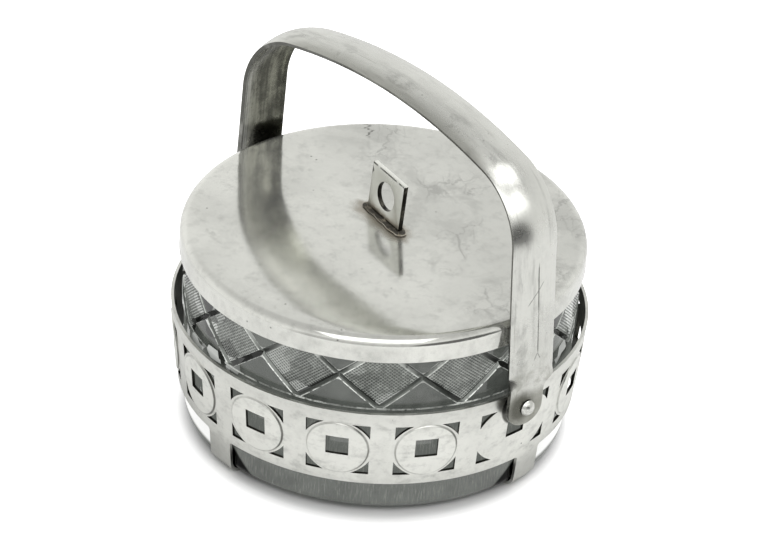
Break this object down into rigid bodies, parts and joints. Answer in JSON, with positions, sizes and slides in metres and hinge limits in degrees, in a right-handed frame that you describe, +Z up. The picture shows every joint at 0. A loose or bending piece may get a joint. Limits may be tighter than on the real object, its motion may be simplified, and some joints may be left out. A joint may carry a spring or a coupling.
{
  "type": "covered glass jar in a metal holder",
  "caption": "Round cut-glass jar with a flat metal lid and tab, standing in a pierced metal holder on in-turned legs, with a riveted swing handle.",
  "frame": {"origin": "on the table under the middle of the jar", "axes": "+Z up, X parallel to the handle's pivot axis, Y across the handle"},
  "size_m": [0.1332, 0.1236, 0.1121],
  "materials": {
    "holder_metal": "worn semi-gloss white metal",
    "rivet_metal": "worn semi-gloss white metal",
    "handle_metal": "worn semi-gloss white metal",
    "lid_metal": "worn semi-gloss white metal with fine scratches",
    "solder": "dull, stained",
    "cut_glass": "clear cut glass with a faint grey-green tint"
  },
  "bodies": {
    "holder": {"holder_band": "holder_metal", "pivot_spacer_near": "holder_metal", "pivot_spacer_far": "holder_metal", "pivot_rivet_near": "rivet_metal", "pivot_rivet_far": "rivet_metal"},
    "handle": {"bail_handle": "handle_metal"},
    "bowl": {"glass_bowl": "cut_glass"},
    "lid": {"lid": "lid_metal", "lid_tab": "lid_metal", "tab_solder": "solder"}
  },
  "joints": [
    {"name": "handle_swing", "type": "hinge", "parent": "holder", "child": "handle", "pos_m": [0, 0.00145, 0.0333], "axis": [1, 0, 0], "range_deg": [-102, 109]},
    {"name": "bowl_lift", "type": "slide", "parent": "holder", "child": "bowl", "axis": [0, 0, 1], "range_m": [0, 0.012]},
    {"name": "lid_lift", "type": "slide", "parent": "bowl", "child": "lid", "axis": [0, 0, 1], "range_m": [0, 0.016]}
  ]
}
